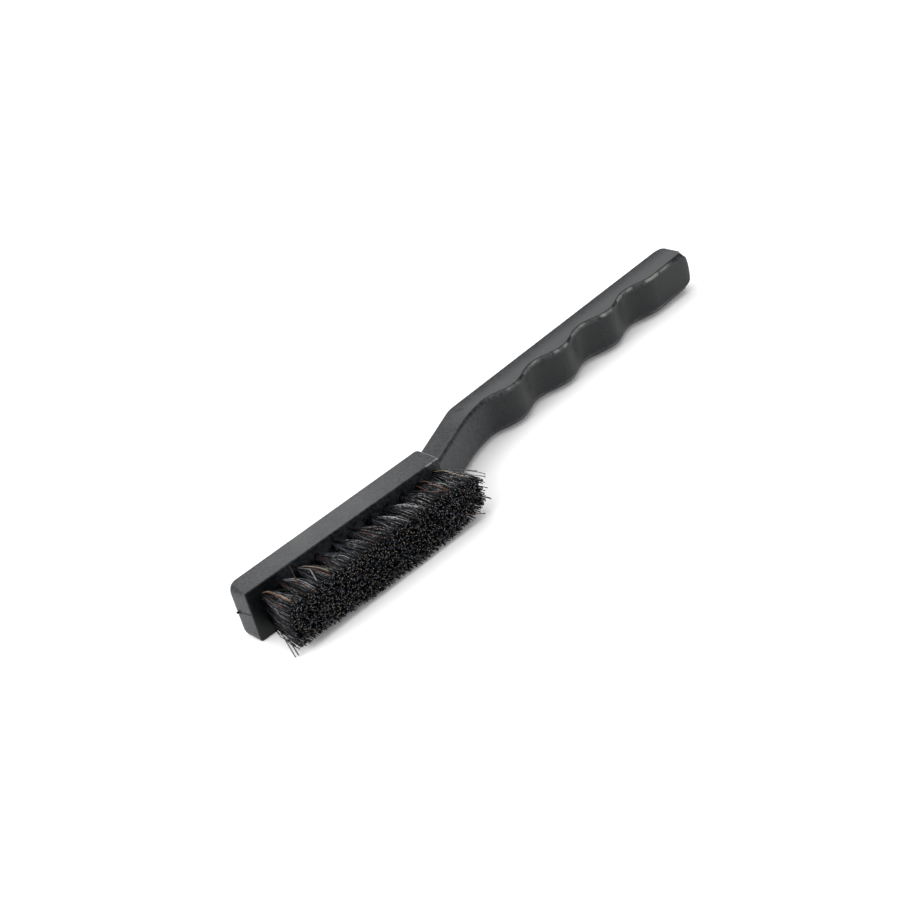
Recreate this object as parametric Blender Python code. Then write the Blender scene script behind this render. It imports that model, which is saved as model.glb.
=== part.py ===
"""Anti-static brush: a one-piece moulded head, neck and finger-grip handle with tufts set in it.

Metres, +Z up. The brush lies on its side. X runs from the head's front end to the end of the
handle, the bristles point to -Y, and Z runs across the width of the brush. The origin is the
centre of the head's lower side face, the flat face that the brush lies on.
"""
import math
import random

import bmesh
import bpy
from mathutils import Matrix, Vector

MODEL_NAME = "antistatic_brush"

# Head, a bar that grows thicker from its front end to the neck
HEAD_LENGTH = 0.07425
HEAD_WIDTH = 0.0168
HEAD_FRONT_THICKNESS = 0.0086
HEAD_REAR_THICKNESS = 0.0099
HEAD_FRONT_SLANT = 0.0008
HEAD_FRONT_CORNER = 0.0027
HEAD_REAR_CORNER = 0.0011
HEAD_FACE_CORNER = 0.0004
HEAD_FRONT_EDGE_AT_BACK = 0.0023
HEAD_FRONT_EDGE_AT_FACE = 0.0005
HEAD_EDGE = 0.0003

# Neck, which climbs from the head's rear face to the line of the handle. The drop and the step
# are what the rear face shows of itself beyond the neck, on the back and on the bristle side
NECK_ANGLE = math.radians(25.2)
NECK_RUN = 0.0223
NECK_BACK_DROP = 0.0001
NECK_FACE_STEP = 0.0015
NECK_EMBED = 0.0020
NECK_BACK_RADIUS = 0.0100
NECK_THROAT_RADIUS = 0.0450

# Handle, measured along its own line from the bend of the neck's back
HANDLE_ANGLE = math.radians(3.5)
HANDLE_LENGTH = 0.1100
HANDLE_WIDTH = 0.0134
HANDLE_BACK_EDGE = 0.0008
END_THICKNESS = 0.0100
END_BACK_CORNER = 0.0072
END_GRIP_CORNER = 0.0018
END_SIDE_CORNER = 0.0030

# Grip side of the neck and handle. The two halves of the mould part along the side faces' lower
# rim, where a small step leads to a rounded crown
PARTING_STEP = 0.0003
CROWN_RADIUS = 0.0016
CROWN_START = math.radians(35)

# Finger grooves on the bristle side of the handle, as many as leave the end plain
GROOVE_PITCH = 0.0236
GROOVE_THICKNESS = 0.0069
CREST_THICKNESS = 0.0100
FIRST_GROOVE = 0.0082
PLAIN_END = 0.0185

# Blind holes for the tufts: as many columns along the head as fit, and rows spread across it
COLUMN_PITCH = 0.00656
FRONT_MARGIN = 0.00585
REAR_MARGIN = 0.0024
ROWS = 3
SIDE_MARGIN = 0.00415
HOLE_RADIUS = 0.0014
HOLE_FLOOR = 0.0028

# Tufts: a bound foot that seats in the hole, an anchor strip across it, and the strands
FOOT_CLEARANCE = 0.00025
FLOOR_CLEARANCE = 0.0003
MOUTH_RECESS = 0.0003
ANCHOR_CLEARANCE = 0.0001
ANCHOR_THICKNESS = 0.0004
ANCHOR_HEIGHT = 0.0015
ANCHOR_LIFT = 0.0005
FREE_LENGTH_AT_FRONT = 0.0166
COLUMN_FAN = 0.00013
ROW_FAN = 0.00125
TIP_GAP = 0.0014
STRAND_ROOT_RADIUS = 0.00017
STRAND_TIP_RADIUS = 0.00050
TIP_SCATTER = 0.0001
TRIM_SCATTER = 0.00045
STRANDS_ALONG = 4
STRANDS_ACROSS = 3

# Share of their height by which the block of tips is drawn in at its ends, and how sharply
END_DRAW = 0.25
END_DRAW_POWER = 8

# Fineness of the meshes
CORNER_STEPS = 6
FRONT_EDGE_STEPS = 6
EDGE_STEPS = 3
SECTION_STEP = 0.0013
END_STEPS = 9
HOLE_SIDES = 16
FOOT_SIDES = 12
STRAND_SIDES = 3

# Largest share of its wall that a rounded corner or edge takes up
CORNER_SHARE = 0.45
END_BACK_SHARE = 0.72
END_GRIP_SHARE = 0.20

# Turns a shape made along +Z to point out of the bristle face
OUT_OF_FACE = Matrix.Rotation(math.pi / 2, 4, "X")
SCATTER_SEED = 7


def head_thickness(along):
    """Thickness of the head at a distance from its front end."""
    share = along / HEAD_LENGTH
    return HEAD_FRONT_THICKNESS + (HEAD_REAR_THICKNESS - HEAD_FRONT_THICKNESS) * share


# The head's front end, rear face and back, with the origin in the middle of its side face
FRONT_X = -HEAD_LENGTH / 2
REAR_X = FRONT_X + HEAD_LENGTH
BACK_Y = head_thickness(HEAD_LENGTH / 2) / 2
MIDDLE_Z = HEAD_WIDTH / 2

# The neck between its back and underside, square to its own line and square to the handle's
NECK_RISE = NECK_ANGLE - HANDLE_ANGLE
NECK_THICKNESS = (HEAD_REAR_THICKNESS - NECK_BACK_DROP - NECK_FACE_STEP) * math.cos(NECK_ANGLE)
NECK_HEIGHT = NECK_THICKNESS / math.cos(NECK_RISE)

GROOVE_COUNT = max(int((HANDLE_LENGTH - FIRST_GROOVE - PLAIN_END) / GROOVE_PITCH + 0.5), 1)
COLUMNS = int((HEAD_LENGTH - FRONT_MARGIN - REAR_MARGIN) / COLUMN_PITCH) + 1
ROW_PITCH = (HEAD_WIDTH - 2 * SIDE_MARGIN) / (ROWS - 1)
HOLE_DEPTH = HEAD_FRONT_THICKNESS - HOLE_FLOOR
FOOT_RADIUS = HOLE_RADIUS - FOOT_CLEARANCE
FOOT_LENGTH = HOLE_DEPTH - FLOOR_CLEARANCE - MOUTH_RECESS


def clear_scene():
    """Remove every object of the open scene."""
    for item in list(bpy.data.objects):
        bpy.data.objects.remove(item, do_unlink=True)


def make_collection(name):
    """A new collection in the scene."""
    collection = bpy.data.collections.new(name)
    bpy.context.scene.collection.children.link(collection)
    return collection


def make_material(name, colour, roughness, metallic=0.0):
    """A plain Principled material."""
    material = bpy.data.materials.new(name)
    material.use_nodes = True
    shader = material.node_tree.nodes["Principled BSDF"]
    shader.inputs["Base Color"].default_value = (*colour, 1.0)
    shader.inputs["Roughness"].default_value = roughness
    shader.inputs["Metallic"].default_value = metallic
    return material


def object_from_bmesh(name, work, collection):
    """A mesh object in the collection, from a bmesh that is then freed."""
    mesh = bpy.data.meshes.new(name)
    work.to_mesh(mesh)
    work.free()
    item = bpy.data.objects.new(name, mesh)
    collection.objects.link(item)
    return item


def make_guide(item):
    """Show an object as a wire guide that isn't part of the model."""
    item.hide_render = True
    item.display_type = "WIRE"


def add_boolean(target, operand, operation):
    """Join the operand to the target, or cut it out, with a Boolean modifier."""
    boolean = target.modifiers.new(operand.name, "BOOLEAN")
    boolean.operation = operation
    boolean.solver = "EXACT"
    boolean.object = operand


def round_corners(corners):
    """Turn corners given as (point, radius) into an outline with an arc at each of them."""
    outline = []
    for index, (corner, radius) in enumerate(corners):
        before = corners[index - 1][0] - corner
        after = corners[(index + 1) % len(corners)][0] - corner
        half_angle = before.angle(after) / 2
        limit = CORNER_SHARE * min(before.length, after.length)
        reach = min(radius / math.tan(half_angle), limit)
        start = corner + before.normalized() * reach
        end = corner + after.normalized() * reach
        inward = (before.normalized() + after.normalized()).normalized()
        centre = corner + inward * reach / math.cos(half_angle)
        arm = start - centre
        sweep = arm.angle_signed(end - centre)
        for step in range(CORNER_STEPS + 1):
            turn = Matrix.Rotation(-sweep * step / CORNER_STEPS, 2)
            outline.append(centre + turn @ arm)
    return outline


def corner_inset(to_end, radius):
    """How far a round corner draws an edge in, at a distance from the end that it rounds."""
    if to_end >= radius:
        return 0.0
    return radius - math.sqrt(radius ** 2 - (radius - to_end) ** 2)


def build_loft(name, loops, collection):
    """A closed mesh object through loops that have their points in the same order."""
    work = bmesh.new()
    rings = [[work.verts.new(place) for place in loop] for loop in loops]
    for near, far in zip(rings, rings[1:]):
        for index in range(len(near)):
            work.faces.new((near[index - 1], near[index], far[index], far[index - 1]))
    work.faces.new(rings[0])
    work.faces.new(rings[-1])
    bmesh.ops.recalc_face_normals(work, faces=work.faces)
    return object_from_bmesh(name, work, collection)


def head_outline(height, front_edge):
    """The head seen along Z, at a height above its lower side face: a straight back, and a
    bristle face that falls away to the rear. Its rounded edges draw it in near its side faces."""
    to_side = min(height, HEAD_WIDTH - height)
    at_back = corner_inset(to_side, front_edge)
    at_face = corner_inset(to_side, HEAD_FRONT_EDGE_AT_FACE)
    inset = corner_inset(to_side, HEAD_EDGE)
    face_corner = HEAD_FACE_CORNER * (1 - CORNER_SHARE * inset / HEAD_EDGE)
    outline = round_corners([
        (Vector((FRONT_X - HEAD_FRONT_SLANT + at_back, BACK_Y - inset)), HEAD_FRONT_CORNER),
        (Vector((FRONT_X + at_face, BACK_Y - HEAD_FRONT_THICKNESS + inset)), face_corner),
        (Vector((REAR_X - inset, BACK_Y - HEAD_REAR_THICKNESS + inset)), face_corner),
        (Vector((REAR_X - inset, BACK_Y - inset)), HEAD_REAR_CORNER),
    ])
    return [Vector((place.x, place.y, height)) for place in outline]


def build_head(collection):
    """The head, lofted through its outlines from the lower side face to the upper one."""
    front_edge = min(HEAD_FRONT_EDGE_AT_BACK, CORNER_SHARE * HEAD_WIDTH)
    heights = []
    for step in range(FRONT_EDGE_STEPS + 1):
        turn = math.pi / 2 * step / FRONT_EDGE_STEPS
        heights.append(front_edge * (1 - math.cos(turn)))
    heights += [HEAD_WIDTH - height for height in reversed(heights)]
    loops = [head_outline(height, front_edge) for height in heights]
    return build_loft("moulded_body", loops, collection)


def grip_thickness(along):
    """Thickness of the handle at a distance along it: groove floors and crests in turn."""
    last_crest = 2 * GROOVE_COUNT - 1
    half_waves = max(along - FIRST_GROOVE, 0.0) / (GROOVE_PITCH / 2)
    half_wave = min(int(half_waves), last_crest)
    share = min(half_waves - half_wave, 1.0)
    extremes = [GROOVE_THICKNESS, CREST_THICKNESS] * GROOVE_COUNT
    extremes[last_crest] = END_THICKNESS
    start = extremes[half_wave]
    end = extremes[min(half_wave + 1, last_crest)]
    return start + (end - start) * (1 - math.cos(math.pi * share)) / 2


def bent_line(along, corner_along, corner_height, radius):
    """Height of a line that climbs with the neck up to its corner, and is level from there on."""
    reach = radius * math.tan(NECK_RISE / 2)
    centre_along = corner_along + reach
    if along >= centre_along:
        return corner_height
    if along <= corner_along - reach * math.cos(NECK_RISE):
        return corner_height + (along - corner_along) * math.tan(NECK_RISE)
    return corner_height - radius + math.sqrt(radius ** 2 - (along - centre_along) ** 2)


def handle_stations():
    """Distances along the handle of its sections, from inside the head to the end."""
    neck_length = (NECK_RUN + NECK_EMBED) / math.cos(NECK_ANGLE)
    start = -neck_length * math.cos(NECK_RISE)
    end_reach = max(END_BACK_CORNER, END_GRIP_CORNER, END_SIDE_CORNER)
    plain = HANDLE_LENGTH - end_reach - start
    count = round(plain / SECTION_STEP)
    stations = [start + plain * step / count for step in range(count)]
    for step in range(END_STEPS + 1):
        turn = math.pi / 2 * step / END_STEPS
        stations.append(HANDLE_LENGTH - end_reach * (1 - math.sin(turn)))
    return stations


def handle_section(along):
    """The outline across the handle at a distance along it, its points always in the same order."""
    throat = (NECK_HEIGHT - GROOVE_THICKNESS) / math.tan(NECK_RISE)
    floor = bent_line(along, throat, -GROOVE_THICKNESS, NECK_THROAT_RADIUS)
    rim = floor + GROOVE_THICKNESS - grip_thickness(along)
    back = bent_line(along, 0.0, 0.0, NECK_BACK_RADIUS)
    half_width = HANDLE_WIDTH / 2

    to_end = HANDLE_LENGTH - along
    back -= corner_inset(to_end, min(END_BACK_CORNER, END_BACK_SHARE * END_THICKNESS))
    rim += corner_inset(to_end, min(END_GRIP_CORNER, END_GRIP_SHARE * END_THICKNESS))
    half_width -= corner_inset(to_end, min(END_SIDE_CORNER, CORNER_SHARE * HANDLE_WIDTH))

    edge = min(HANDLE_BACK_EDGE, CORNER_SHARE * (back - rim), CORNER_SHARE * half_width)
    crown = min(CROWN_RADIUS, CORNER_SHARE * (half_width - PARTING_STEP))
    half = []
    for step in range(EDGE_STEPS + 1):
        turn = math.pi / 2 * step / EDGE_STEPS
        half.append((back - edge * (1 - math.cos(turn)), half_width - edge * (1 - math.sin(turn))))
    half.append((rim, half_width))
    for step in range(EDGE_STEPS + 1):
        turn = CROWN_START + (math.pi / 2 - CROWN_START) * step / EDGE_STEPS
        drop = crown * (math.sin(turn) - math.sin(CROWN_START))
        inward = crown * (math.cos(CROWN_START) - math.cos(turn))
        half.append((rim - drop, half_width - PARTING_STEP - inward))
    upper = [Vector((along, height, across)) for height, across in half]
    lower = [Vector((along, height, -across)) for height, across in reversed(half)]
    return upper + lower


def build_handle(collection):
    """The neck and the finger-grip handle, lofted through their sections along the handle."""
    loops = [handle_section(along) for along in handle_stations()]
    handle = build_loft("handle_guide", loops, collection)
    bend_y = BACK_Y - NECK_BACK_DROP + NECK_RUN * math.tan(NECK_ANGLE)
    handle.location = (REAR_X + NECK_RUN, bend_y, MIDDLE_Z)
    handle.rotation_euler.z = HANDLE_ANGLE
    return handle


def tuft_places():
    """Column and row of each tuft, counted from the head's middle, and its hole's mouth."""
    for column in range(COLUMNS):
        for row in range(ROWS):
            along = FRONT_MARGIN + column * COLUMN_PITCH
            across = (row - (ROWS - 1) / 2) * ROW_PITCH
            yield column, row, along, across


def mouth_place(along, across):
    """Middle of a tuft hole's mouth on the bristle face."""
    return Vector((FRONT_X + along, BACK_Y - head_thickness(along), MIDDLE_Z + across))


def build_hole_cutters(collection):
    """A cylinder for each blind hole, which runs out past the bristle face by its radius."""
    work = bmesh.new()
    for _, _, along, across in tuft_places():
        middle = mouth_place(along, across) + Vector((0.0, (HOLE_DEPTH - HOLE_RADIUS) / 2, 0.0))
        bmesh.ops.create_cone(
            work, cap_ends=True, segments=HOLE_SIDES, radius1=HOLE_RADIUS, radius2=HOLE_RADIUS,
            depth=HOLE_DEPTH + HOLE_RADIUS, matrix=Matrix.Translation(middle) @ OUT_OF_FACE)
    return object_from_bmesh("tuft_holes_guide", work, collection)


def build_body(parts, guides):
    """The moulded body: head, neck and handle in one, with a blind hole for each tuft."""
    body = build_head(parts)
    handle = build_handle(guides)
    holes = build_hole_cutters(guides)
    make_guide(handle)
    make_guide(holes)
    add_boolean(body, handle, "UNION")
    add_boolean(body, holes, "DIFFERENCE")
    return body


def spread(index, count):
    """Place of one of several strands in a row, from -1 to 1."""
    return 2 * index / (count - 1) - 1


def disc_from_square(u, v):
    """Move a point of the square from -1 to 1 into the round disc of radius 1."""
    return u * math.sqrt(1 - v * v / 2), v * math.sqrt(1 - u * u / 2)


def strand_root(u, v):
    """Lower end of a strand, buried in the tuft's foot."""
    reach = FOOT_RADIUS - STRAND_ROOT_RADIUS
    disc_u, disc_v = disc_from_square(u, v)
    return Vector((disc_u * reach, disc_v * reach, -MOUTH_RECESS - STRAND_ROOT_RADIUS))


def strand_tip(u, v, column, row, tip_height):
    """Upper end of a strand, in the block of tips, which is drawn in at the head's two ends."""
    columns_off = column - (COLUMNS - 1) / 2
    rows_off = row - (ROWS - 1) / 2
    block_share = (2 * columns_off + u) / COLUMNS
    narrowing = 1 - END_DRAW * block_share ** END_DRAW_POWER
    tip_row_pitch = (ROW_PITCH + ROW_FAN) * narrowing
    lean_along = columns_off * COLUMN_FAN
    lean_across = rows_off * (tip_row_pitch - ROW_PITCH)
    fan_along = u * (COLUMN_PITCH + COLUMN_FAN - TIP_GAP) / 2
    fan_across = v * (tip_row_pitch - TIP_GAP) / 2
    return Vector((lean_along + fan_along, lean_across + fan_across, tip_height))


def add_strand(work, root, tip):
    """A straight strand from root to tip, a little thicker at the tip."""
    line = tip - root
    turn = line.to_track_quat("Z", "Y").to_matrix().to_4x4()
    place = Matrix.Translation((root + tip) / 2) @ turn
    bmesh.ops.create_cone(
        work, cap_ends=True, segments=STRAND_SIDES, radius1=STRAND_ROOT_RADIUS,
        radius2=STRAND_TIP_RADIUS, depth=line.length, matrix=place)


def build_strands(name, column, row, along, scatter, collection):
    """The anchor strip across a tuft's foot, and the tuft's fan of strands, trimmed level."""
    work = bmesh.new()
    anchor_length = 2 * (HOLE_RADIUS - ANCHOR_CLEARANCE)
    anchor_middle = ANCHOR_LIFT + ANCHOR_HEIGHT / 2 - FOOT_LENGTH - MOUTH_RECESS
    size = Matrix.Diagonal((anchor_length, ANCHOR_THICKNESS, ANCHOR_HEIGHT, 1.0))
    place = Matrix.Translation((0.0, 0.0, anchor_middle))
    bmesh.ops.create_cube(work, size=1.0, matrix=place @ size)

    tip_height = HEAD_FRONT_THICKNESS + FREE_LENGTH_AT_FRONT - head_thickness(along)
    for i in range(STRANDS_ALONG):
        for j in range(STRANDS_ACROSS):
            u = spread(i, STRANDS_ALONG)
            v = spread(j, STRANDS_ACROSS)
            tip = strand_tip(u, v, column, row, tip_height)
            tip.x += scatter.uniform(-TIP_SCATTER, TIP_SCATTER)
            tip.y += scatter.uniform(-TIP_SCATTER, TIP_SCATTER)
            tip.z -= scatter.uniform(0.0, TRIM_SCATTER)
            add_strand(work, strand_root(u, v), tip)
    return object_from_bmesh(name, work, collection)


def build_tuft(column, row, along, across, scatter, parts, guides):
    """One tuft in its hole: its bound foot, joined with its anchor strip and its strands."""
    name = f"tuft_r{row + 1}_c{column + 1:02d}"
    work = bmesh.new()
    foot_middle = -MOUTH_RECESS - FOOT_LENGTH / 2
    bmesh.ops.create_cone(
        work, cap_ends=True, segments=FOOT_SIDES, radius1=FOOT_RADIUS, radius2=FOOT_RADIUS,
        depth=FOOT_LENGTH, matrix=Matrix.Translation((0.0, 0.0, foot_middle)))
    tuft = object_from_bmesh(name, work, parts)
    strands = build_strands(name + "_guide", column, row, along, scatter, guides)
    make_guide(strands)
    add_boolean(tuft, strands, "UNION")
    for item in (tuft, strands):
        item.matrix_world = Matrix.Translation(mouth_place(along, across)) @ OUT_OF_FACE
    return tuft


def main():
    """Model the brush: the moulded body and its tufts, parented to one empty."""
    clear_scene()
    parts = make_collection(MODEL_NAME)
    guides = make_collection(MODEL_NAME + "_guides")
    plastic = make_material("conductive_plastic", (0.030, 0.031, 0.033), 0.5)
    hair = make_material("conductive_hair", (0.012, 0.011, 0.011), 0.55)

    frame = bpy.data.objects.new(MODEL_NAME + "_frame", None)
    parts.objects.link(frame)
    body = build_body(parts, guides)
    body.data.materials.append(plastic)

    scatter = random.Random(SCATTER_SEED)
    for column, row, along, across in tuft_places():
        tuft = build_tuft(column, row, along, across, scatter, parts, guides)
        tuft.data.materials.append(hair)
    for item in [*parts.objects, *guides.objects]:
        if item != frame:
            item.parent = frame


main()
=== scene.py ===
"""Looks of the anti-static brush: a grained black moulding, tufts of fine bristle, a pale floor."""
import logging
import math
from dataclasses import dataclass
from enum import Enum
from typing import Any, Union

import bpy
import numpy as np
from mathutils import Matrix, Vector


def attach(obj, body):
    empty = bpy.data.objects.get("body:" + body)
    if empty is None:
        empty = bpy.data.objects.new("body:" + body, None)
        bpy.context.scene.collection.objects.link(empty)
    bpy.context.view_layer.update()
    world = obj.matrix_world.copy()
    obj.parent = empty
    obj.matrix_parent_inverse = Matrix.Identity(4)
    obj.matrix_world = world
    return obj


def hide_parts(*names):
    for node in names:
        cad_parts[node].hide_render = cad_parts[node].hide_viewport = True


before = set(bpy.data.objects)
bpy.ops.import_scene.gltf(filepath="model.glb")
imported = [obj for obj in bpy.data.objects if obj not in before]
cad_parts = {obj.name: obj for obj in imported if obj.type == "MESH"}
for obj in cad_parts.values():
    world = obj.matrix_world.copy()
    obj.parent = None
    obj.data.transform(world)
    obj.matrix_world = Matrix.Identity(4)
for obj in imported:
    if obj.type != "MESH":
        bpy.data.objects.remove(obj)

LOG = logging.getLogger("brush")
BODY = "root"
UPWARD = (0.0, 0.0, 1.0)
MM_IN_A_METRE = 1000
# Numbers of a Mix node's two colour inputs and of its colour output.
MIX_START, MIX_END, MIXED = 6, 7, 2

Colour = tuple[float, float, float]
Point = tuple[float, float, float]
# The value at which an effect sets in, and that at which it is full.
Climb = tuple[float, float]
# The climb with which an effect comes, and that with which it goes.
Band = tuple[Climb, Climb]


class Wire:
    """A value on its way through a material's nodes. Python's operators add Math nodes."""

    def __init__(self, bench: "Bench", socket: bpy.types.NodeSocket) -> None:
        """Keep the output socket that gives the value, and the bench that it is on."""
        self.bench = bench
        self.socket = socket

    def _math(self, operation: str, *values: "Value") -> "Wire":
        """One Math node: Blender's name of its operation, and its inputs in order."""
        return self.bench.add("ShaderNodeMath", {"operation": operation}, dict(enumerate(values)))

    def __add__(self, other: "Value") -> "Wire":
        """Sum."""
        return self._math("ADD", self, other)

    def __radd__(self, other: "Value") -> "Wire":
        """Sum, the other way round."""
        return self._math("ADD", other, self)

    def __sub__(self, other: "Value") -> "Wire":
        """Difference."""
        return self._math("SUBTRACT", self, other)

    def __rsub__(self, other: "Value") -> "Wire":
        """Difference, the other way round."""
        return self._math("SUBTRACT", other, self)

    def __mul__(self, other: "Value") -> "Wire":
        """Product."""
        return self._math("MULTIPLY", self, other)

    def __abs__(self) -> "Wire":
        """Size without the sign."""
        return self._math("ABSOLUTE", self)

    def ramp(self, low: float, high: float) -> "Wire":
        """A smooth climb from 0 at low to 1 at high, or a fall where high lies below low."""
        sockets = {"Value": self, "From Min": low, "From Max": high}
        return self.bench.add("ShaderNodeMapRange", {"interpolation_type": "SMOOTHSTEP"}, sockets)

    def within(self, band: Band) -> "Wire":
        """A plateau with smooth edges: 1 inside the band, 0 on both sides of it."""
        start, end = band
        return self.ramp(*start) * self.ramp(*end)

    def cycle(self, start: float, period: float) -> "Wire":
        """Where the value stands in a period that repeats: 0 at its start, 1 at its end."""
        return self._math("FRACT", (self - start) * (1.0 / period))


Value = Union[Wire, float, Colour, Vector]
Measure = Union[Wire, np.ndarray]


class Bench:
    """A node tree that is being wired: a material's with its Principled shader, or the world's."""

    def __init__(self, owner: Union[bpy.types.Material, bpy.types.World], shader: str) -> None:
        """Open the tree.

        Args:
            owner: the material or world.
            shader: name of the shader node that it starts with.
        """
        owner.use_nodes = True
        self.owner = owner
        self.tree = owner.node_tree
        self.shader = self.tree.nodes[shader]

    @classmethod
    def material(cls, name: str) -> "Bench":
        """Start a material under a name."""
        return cls(bpy.data.materials.new(name), "Principled BSDF")

    def plug(self, node: bpy.types.Node, sockets: dict[Union[str, int], Value]) -> None:
        """Set or link a node's inputs.

        Args:
            node: the node.
            sockets: input name or number, and its value or wire.
        """
        for key, value in sockets.items():
            if isinstance(value, Wire):
                self.tree.links.new(value.socket, node.inputs[key])
            elif isinstance(value, tuple) and node.inputs[key].type == "RGBA":
                node.inputs[key].default_value = (*value, 1.0)
            else:
                node.inputs[key].default_value = value

    def add(self, kind: str, settings: dict[str, Any], sockets: dict[Union[str, int], Value],
            output: Union[str, int] = 0) -> Wire:
        """Add a node: its settings first, then its sockets.

        Args:
            kind: Blender's name of the node's type.
            settings: properties of the node, such as a Math node's operation.
            sockets: input name or number, and its value or wire.
            output: the output to hand on.

        Returns:
            The chosen output.
        """
        node = self.tree.nodes.new(kind)
        for key, value in settings.items():
            setattr(node, key, value)
        self.plug(node, sockets)
        return Wire(self, node.outputs[output])

    def place(self) -> Wire:
        """The point of the surface, in metres, in the brush's own frame."""
        return self.add("ShaderNodeTexCoord", {}, {}, "Object")

    def axis(self, place: Wire, letter: str) -> Wire:
        """One coordinate of a point, under its letter X, Y or Z."""
        return self.add("ShaderNodeSeparateXYZ", {}, {"Vector": place}, letter)

    def mottle(self, place: Wire, grain: float, detail: float = 2.0) -> Wire:
        """Cloudy noise around 0.5: the size of its blotches in metres, and its finer layers."""
        sockets = {"Vector": place, "Scale": 1.0 / grain, "Detail": detail}
        return self.add("ShaderNodeTexNoise", {}, sockets)

    def blend(self, share: Value, start: Value, end: Value, kind: str = "MIX") -> Wire:
        """A colour from start at share 0 to end at share 1, or to the product of the two."""
        sockets = {"Factor": share, MIX_START: start, MIX_END: end}
        return self.add("ShaderNodeMix", {"data_type": "RGBA", "blend_type": kind}, sockets, MIXED)

    def bump(self, height: Wire, depth: float, strength: float) -> Wire:
        """A normal that leans with a height, of which 1 stands for the depth in metres."""
        sockets = {"Strength": strength, "Distance": depth, "Height": height}
        return self.add("ShaderNodeBump", {}, sockets)


@dataclass(frozen=True)
class HandleLine:
    """The handle's place: where its back leaves the neck, how it climbs, and its sizes."""

    bend_x: float = 0.059425
    bend_y: float = 0.015019
    middle_z: float = 0.0084
    angle: float = math.radians(3.5)
    length: float = 0.1100
    half_width: float = 0.0067
    thickness: float = 0.0100
    groove_pitch: float = 0.0236

    def along_and_height(self, x: Measure, y: Measure) -> tuple[Measure, Measure]:
        """Turn a point's x and y into distances along the handle's back and out of it.

        Args:
            x: distance along the head.
            y: distance towards the back.

        Returns:
            The distance along the handle, and the height, which is negative inside.
        """
        level, climb = math.cos(self.angle), math.sin(self.angle)
        from_x, from_y = x - self.bend_x, y - self.bend_y
        return from_x * level + from_y * climb, from_y * level - from_x * climb


@dataclass(frozen=True)
class Spot:
    """The point of the moulding that is shaded: its place, and its distances as wires."""

    bench: Bench
    place: Wire
    x: Wire
    y: Wire
    z: Wire
    off_middle: Wire
    along: Wire
    height: Wire

    @classmethod
    def on(cls, bench: Bench, line: HandleLine) -> "Spot":
        """Measure the shaded point.

        Args:
            bench: the material being made.
            line: the handle's place.

        Returns:
            The measured point.
        """
        place = bench.place()
        x, y, z = (bench.axis(place, letter) for letter in "XYZ")
        along, height = line.along_and_height(x, y)
        return cls(bench, place, x, y, z, abs(z - line.middle_z), along, height)


@dataclass(frozen=True)
class EdgeHighlights:
    """Painted highlights along the head's edges by its step down to the neck: a pale colour that
    stands in for light caught on their rounding.
    """

    grain: float = 0.0016
    patchy: Climb = (0.40, 0.56)
    rear: Climb = (0.03665, 0.03690)
    face: Climb = (-0.00470, -0.00500)
    face_from: Climb = (0.0300, 0.0330)
    top: Climb = (0.01640, 0.01660)

    def share(self, spot: Spot) -> Wire:
        """How much of the painted highlight shows.

        Args:
            spot: the shaded point.

        Returns:
            0 off the edges, up to 1 on them.
        """
        patchy = spot.bench.mottle(spot.place, self.grain).ramp(*self.patchy)
        rear = spot.x.ramp(*self.rear)
        face = spot.y.ramp(*self.face) * spot.x.ramp(*self.face_from)
        either = rear + face * (1.0 - rear)
        return either * patchy * spot.z.ramp(*self.top)


@dataclass(frozen=True)
class ShoulderHighlights:
    """Painted highlights on the handle's shoulder, by each groove and crest and on the plain end: a
    pale colour that stands in for light reflected there.
    """

    first: float = 0.0021
    period: float = HandleLine().groove_pitch
    groove: Band = ((0.0, 0.05), (0.43, 0.37))
    crest: Band = ((0.59, 0.64), (0.90, 0.84))
    grooved: Climb = (0.0945, 0.0925)
    plain_end: Band = ((0.0885, 0.0905), (0.1030, 0.0945))
    shoulder: Band = ((0.0051, 0.0059), (0.00640, 0.00610))
    depth: Climb = (-0.0035, -0.0055)
    upper: Climb = (0.0070, 0.0098)
    lower_share: float = 0.25
    grain: float = 0.0030
    detail: float = 3.0
    patchy: Climb = (0.26, 0.58)
    growth: Climb = (-0.005, 0.050)
    start: Climb = (0.009, 0.015)

    def share(self, spot: Spot) -> Wire:
        """How much of the painted highlights' colour shows.

        Args:
            spot: the shaded point.

        Returns:
            0 off the highlights, 1 or more on them.
        """
        cycle = spot.along.cycle(self.first, self.period)
        grooves = cycle.within(self.groove) + cycle.within(self.crest)
        lit = grooves * spot.along.ramp(*self.grooved) + spot.along.within(self.plain_end)
        band = spot.off_middle.within(self.shoulder) * spot.height.ramp(*self.depth)
        upper = spot.z.ramp(*self.upper) * (1.0 - self.lower_share) + self.lower_share
        patchy = spot.bench.mottle(spot.place, self.grain, self.detail).ramp(*self.patchy)
        fade = spot.along.ramp(*self.growth) * spot.along.ramp(*self.start)
        return lit * band * upper * patchy * fade


@dataclass(frozen=True)
class Nick:
    """A short scratch on the neck's side face."""

    x: float = 0.06083
    y: float = 0.01116
    level: float = 0.823
    fall: float = 0.567
    length: Climb = (0.0014, 0.0010)
    width: Climb = (0.00044, 0.00018)
    top: Climb = (0.0149, 0.0150)

    def share(self, spot: Spot) -> Wire:
        """How much of the scratch's colour shows.

        Args:
            spot: the shaded point.

        Returns:
            1 in the scratch, 0 beside it.
        """
        from_x, from_y = spot.x - self.x, spot.y - self.y
        along = abs(from_x * self.level - from_y * self.fall)
        aside = abs(from_x * self.fall + from_y * self.level)
        return along.ramp(*self.length) * aside.ramp(*self.width) * spot.z.ramp(*self.top)


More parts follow.
